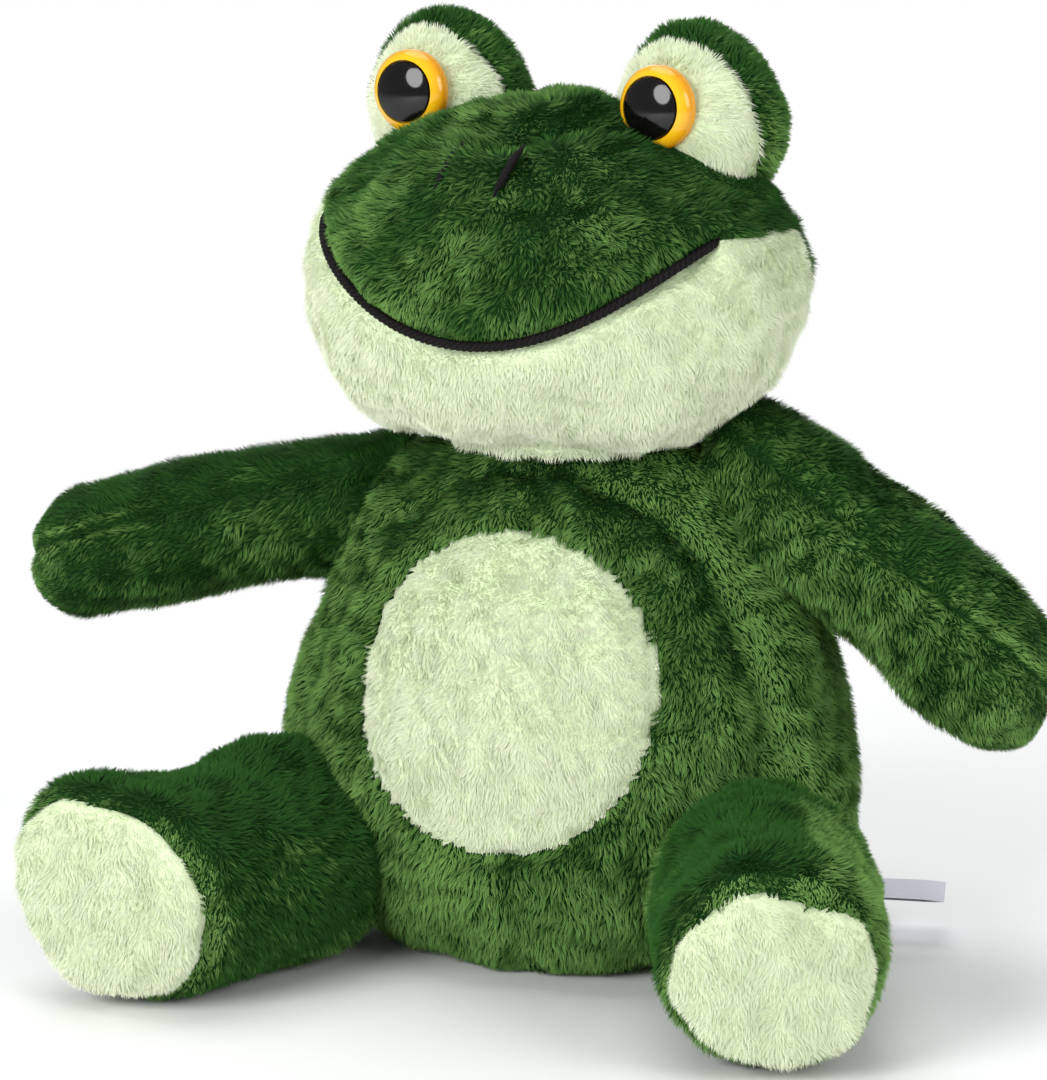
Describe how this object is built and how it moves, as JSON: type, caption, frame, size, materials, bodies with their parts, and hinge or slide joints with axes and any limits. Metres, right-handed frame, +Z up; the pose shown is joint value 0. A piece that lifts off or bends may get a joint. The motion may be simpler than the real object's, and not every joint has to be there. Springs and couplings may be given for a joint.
{
  "type": "plush frog",
  "caption": "Seated plush frog of sewn fur panels over stuffing, with a pale belly patch, chin and soles, safety eyes on raised mounds, and a soft neck, shoulders and hips.",
  "frame": {"origin": "middle of the flat seat, on the floor plane", "axes": "+Z up, the frog faces -Y, its own left side is +X"},
  "size_m": [0.2364, 0.1403, 0.2089],
  "materials": {
    "dark_plush": "short pile plush",
    "pale_plush": "short pile plush",
    "black_thread": "cord and satin stitch",
    "amber_plastic": "gloss",
    "black_plastic": "gloss",
    "white_plastic": "matte",
    "stuffing_fibre": "loose fibre",
    "pouch_cloth": "plain weave",
    "label_cloth": "satin ribbon"
  },
  "bodies": {
    "torso": {"torso_back_skin": "dark_plush", "torso_front_left_skin": "dark_plush", "torso_front_right_skin": "dark_plush", "belly_patch": "pale_plush", "torso_stuffing": "stuffing_fibre", "seat_pouch": "pouch_cloth", "care_label": "label_cloth"},
    "head": {"head_skin": "dark_plush", "head_stuffing": "stuffing_fibre", "chin_panel": "pale_plush", "mouth_cord": "black_thread", "left_nostril": "black_thread", "right_nostril": "black_thread", "left_eye_hood": "dark_plush", "left_eye_patch": "pale_plush", "left_eye_stuffing": "stuffing_fibre", "left_eye_washer": "white_plastic", "left_iris": "amber_plastic", "left_pupil": "black_plastic", "right_eye_hood": "dark_plush", "right_eye_patch": "pale_plush", "right_eye_stuffing": "stuffing_fibre", "right_eye_washer": "white_plastic", "right_iris": "amber_plastic", "right_pupil": "black_plastic"},
    "right_arm": {"right_arm_skin": "dark_plush", "right_arm_stuffing": "stuffing_fibre"},
    "left_arm": {"left_arm_skin": "dark_plush", "left_arm_stuffing": "stuffing_fibre"},
    "right_leg": {"right_leg_skin": "dark_plush", "right_sole": "pale_plush", "right_leg_stuffing": "stuffing_fibre"},
    "left_leg": {"left_leg_skin": "dark_plush", "left_sole": "pale_plush", "left_leg_stuffing": "stuffing_fibre"}
  },
  "joints": [
    {"name": "neck_nod", "type": "hinge", "parent": "torso", "child": "head", "pos_m": [0, 0, 0.088], "axis": [1, 0, 0], "range_deg": [-8, 8], "stiffness_Nm_per_rad": 0.6},
    {"name": "right_shoulder", "type": "hinge", "parent": "torso", "child": "right_arm", "pos_m": [-0.052, 0, 0.097], "axis": [0, 1, 0], "range_deg": [-18, 25], "stiffness_Nm_per_rad": 0.12},
    {"name": "left_shoulder", "type": "hinge", "parent": "torso", "child": "left_arm", "pos_m": [0.046, 0, 0.103], "axis": [0, -1, 0], "range_deg": [0, 40], "stiffness_Nm_per_rad": 0.12},
    {"name": "right_hip", "type": "hinge", "parent": "torso", "child": "right_leg", "pos_m": [-0.0535, -0.0345, 0.024], "axis": [-0.9304, 0.3665, 0], "range_deg": [0, 25], "stiffness_Nm_per_rad": 0.15},
    {"name": "left_hip", "type": "hinge", "parent": "torso", "child": "left_leg", "pos_m": [0.0535, -0.0345, 0.024], "axis": [-0.9426, -0.3338, 0], "range_deg": [0, 25], "stiffness_Nm_per_rad": 0.15}
  ]
}
